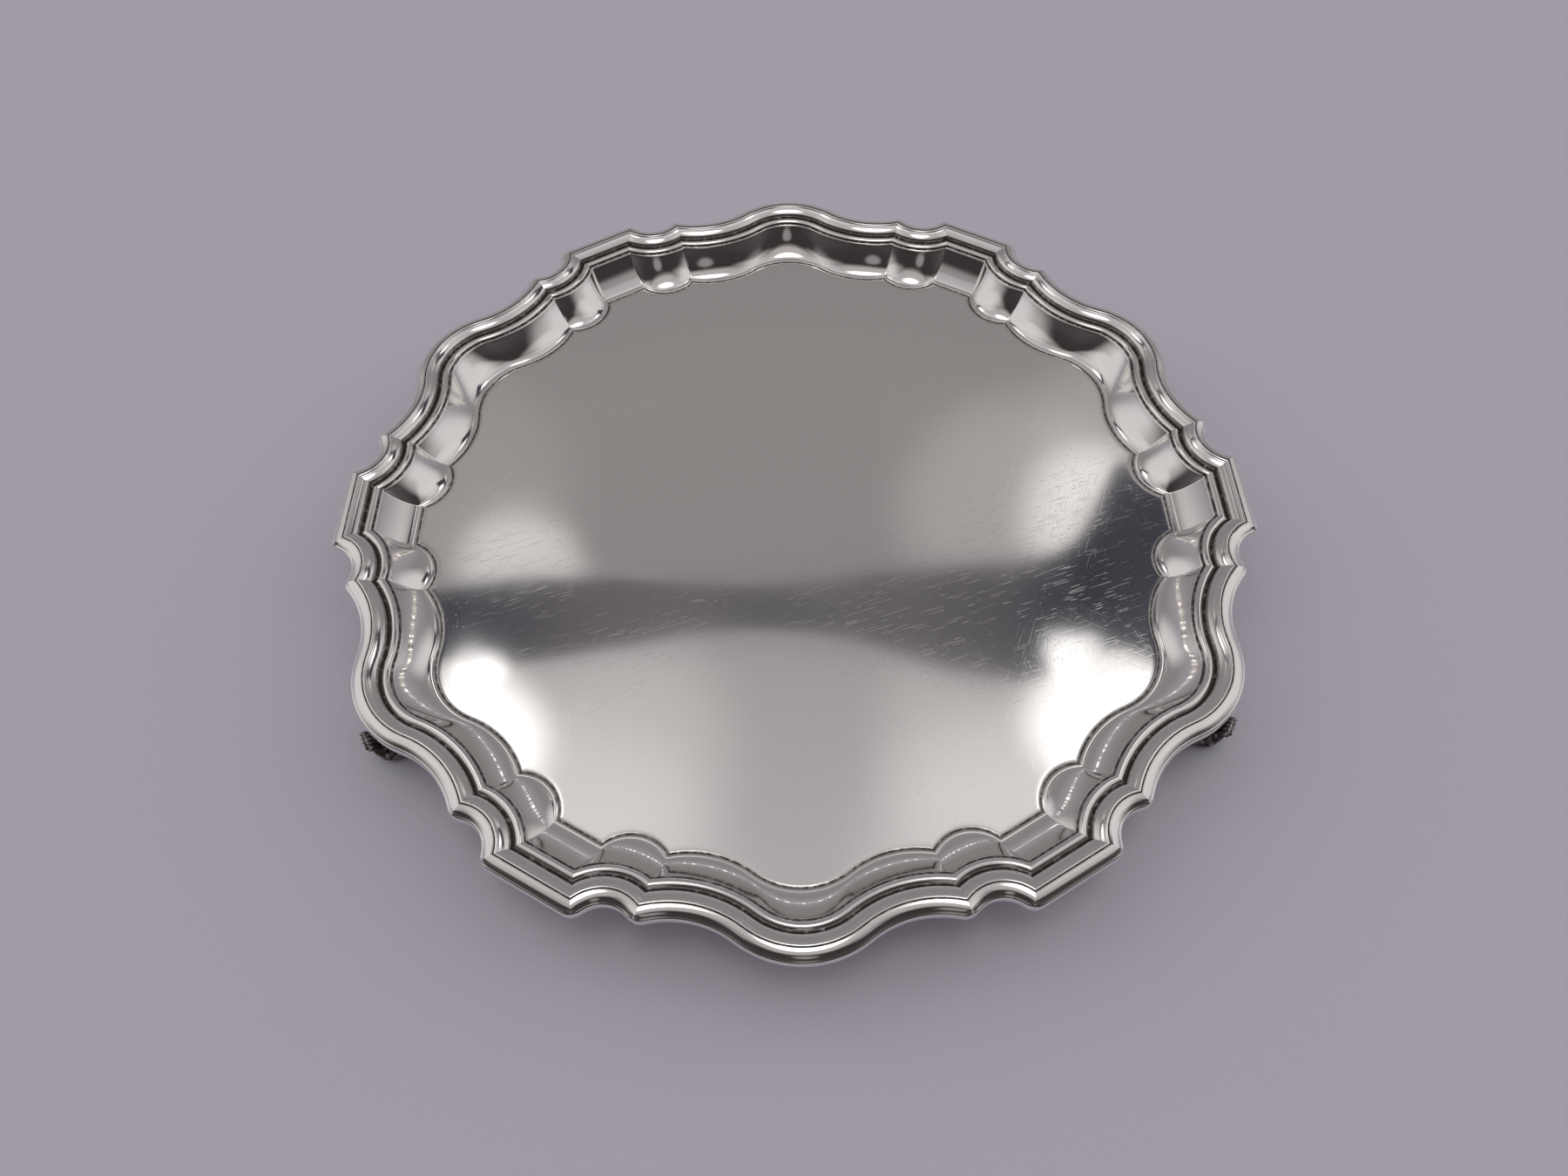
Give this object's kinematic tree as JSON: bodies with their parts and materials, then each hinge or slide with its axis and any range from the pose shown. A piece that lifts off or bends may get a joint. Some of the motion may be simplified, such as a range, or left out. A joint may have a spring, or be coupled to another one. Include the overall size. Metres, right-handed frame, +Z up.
{
  "type": "footed salver",
  "caption": "Round silver salver with an ogee-and-notch moulded border, a hollow bouge and scroll feet, for carrying glasses or cards.",
  "frame": {"origin": "on the table plane that the feet stand on, below the centre of the outline", "axes": "+Z up, out of the well; +Y through an ogee crown that has a foot below it; +X through the middle of a straight length"},
  "size_m": [0.2538, 0.2578, 0.0272],
  "materials": {
    "plate_silver": "hand-polished silver with fine wear scratches",
    "border_silver": "polished cast silver, darker tarnish in the groove",
    "foot_silver": "polished cast silver, chased leaf with tarnish in the lines"
  },
  "bodies": {
    "root": {"border_notch_1a": "border_silver", "border_notch_1b": "border_silver", "border_notch_2a": "border_silver", "border_notch_2b": "border_silver", "border_notch_3a": "border_silver", "border_notch_3b": "border_silver", "border_notch_4a": "border_silver", "border_notch_4b": "border_silver", "border_notch_5a": "border_silver", "border_notch_5b": "border_silver", "border_notch_6a": "border_silver", "border_notch_6b": "border_silver", "border_ogee_1": "border_silver", "border_ogee_2": "border_silver", "border_ogee_3": "border_silver", "border_ogee_4": "border_silver", "border_ogee_5": "border_silver", "border_ogee_6": "border_silver", "border_straight_1": "border_silver", "border_straight_2": "border_silver", "border_straight_3": "border_silver", "border_straight_4": "border_silver", "border_straight_5": "border_silver", "border_straight_6": "border_silver", "scroll_foot_1": "foot_silver", "scroll_foot_2": "foot_silver", "scroll_foot_3": "foot_silver", "tray_plate": "plate_silver"}
  },
  "joints": []
}
